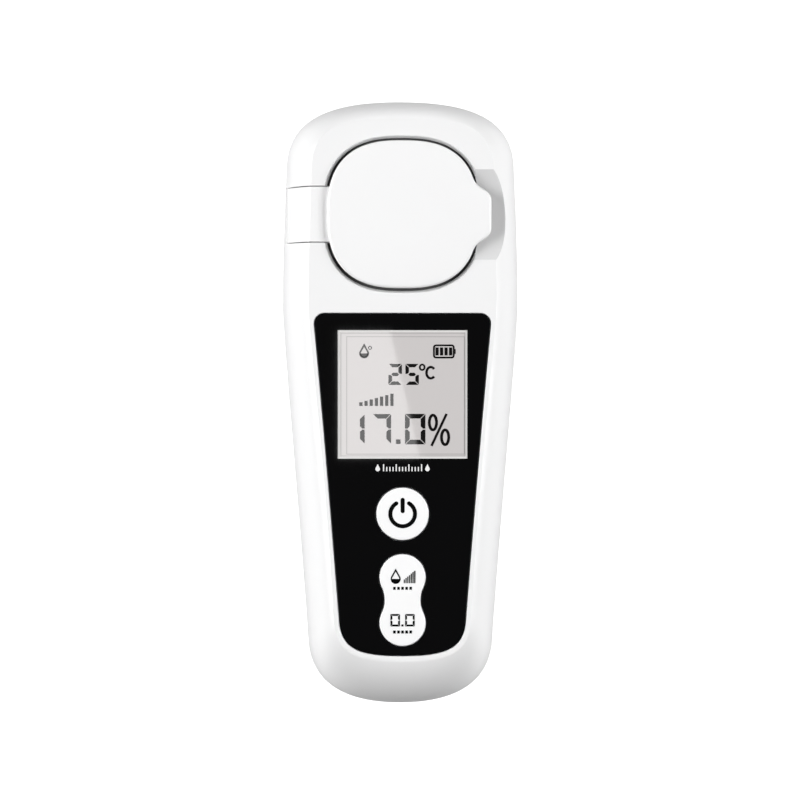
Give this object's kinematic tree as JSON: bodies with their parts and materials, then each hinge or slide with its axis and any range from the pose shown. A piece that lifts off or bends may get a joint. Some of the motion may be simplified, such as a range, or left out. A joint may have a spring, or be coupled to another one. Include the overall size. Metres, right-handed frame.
{
  "type": "digital refractometer",
  "caption": "Hand-held digital sugar refractometer: white tapered case, flip lid over a steel sample dish with prism, black display panel, round key, rocker key, sliding battery door",
  "frame": {"origin": "centre of the body's bounding box on the back plane that it rests on", "axes": "+Z out of the display face, +Y along the body towards the sample end, +X to the right of a reader"},
  "size_m": [0.0528, 0.135, 0.0284],
  "materials": {
    "white_shell": "moulded gloss",
    "white_lid": "moulded gloss",
    "white_door": "moulded satin",
    "white_key": "moulded satin",
    "black_panel": "polished",
    "seal_rubber": "matt",
    "pad_silicone": "matt",
    "carbon_rubber": "matt",
    "screw_steel": "turned",
    "dish_steel": "polished",
    "display_glass": "clear",
    "prism_glass": "polished",
    "reflector_foil": "satin",
    "holder_plastic": "moulded",
    "board_laminate": "solder mask",
    "chip_plastic": "moulded",
    "capacitor_ceramic": "fired",
    "optics_plastic": "spark-eroded",
    "led_resin": "cast",
    "flex_film": "film",
    "cell_wrap": "printed sleeve",
    "contact_nickel": "plated",
    "label_foil": "satin foil"
  },
  "bodies": {
    "case": {"front_case": "white_shell", "rear_case": "white_shell", "case_seal": "seal_rubber", "case_screws": "screw_steel", "hinge_pin": "screw_steel", "display_panel": "black_panel", "key_mat": "pad_silicone", "contact_pills": "carbon_rubber", "lcd_glass": "display_glass", "lcd_holder": "holder_plastic", "lcd_reflector": "reflector_foil", "zebra_strips": "carbon_rubber", "main_board": "board_laminate", "controller_chip": "chip_plastic", "board_chips": "chip_plastic", "board_capacitors": "capacitor_ceramic", "buzzer": "chip_plastic", "board_screws": "screw_steel", "ribbon_sockets": "holder_plastic", "sample_dish": "dish_steel", "dish_gasket": "seal_rubber", "prism": "prism_glass", "prism_gasket": "seal_rubber", "optics_block": "optics_plastic", "optics_screws": "screw_steel", "led": "led_resin", "led_board": "board_laminate", "led_ribbon": "flex_film", "collimator_lens": "prism_glass", "imaging_lens": "prism_glass", "aperture_plate": "optics_plastic", "sensor_board": "board_laminate", "image_sensor": "chip_plastic", "sensor_ribbon": "flex_film", "thermistor": "led_resin", "battery_cells": "cell_wrap", "contact_springs": "contact_nickel", "contact_plates": "contact_nickel", "battery_link": "contact_nickel", "rating_label": "label_foil"},
    "lid": {"lid": "white_lid", "lid_seal": "pad_silicone"},
    "power_key": {"power_key": "white_key"},
    "rocker_key": {"rocker_key": "white_key"},
    "battery_door": {"battery_door": "white_door"}
  },
  "joints": [
    {"name": "lid_hinge", "type": "hinge", "parent": "case", "child": "lid", "pos_m": [-0.0224, 0.0416, 0.0186], "axis": [0, -1, 0], "range_deg": [0, 100]},
    {"name": "power_press", "type": "slide", "parent": "case", "child": "power_key", "axis": [0, 0, -1], "range_m": [0, 0.0005], "stiffness_N_per_m": 3000, "deforming": ["key_mat"]},
    {"name": "rocker_tilt", "type": "hinge", "parent": "case", "child": "rocker_key", "pos_m": [0, -0.04365, 0.0233], "axis": [1, 0, 0], "range_deg": [-2.5, 2.5], "stiffness_Nm_per_rad": 0.18, "deforming": ["key_mat"]},
    {"name": "battery_door_slide", "type": "slide", "parent": "case", "child": "battery_door", "axis": [0, -1, 0], "range_m": [0, 0.055]}
  ]
}
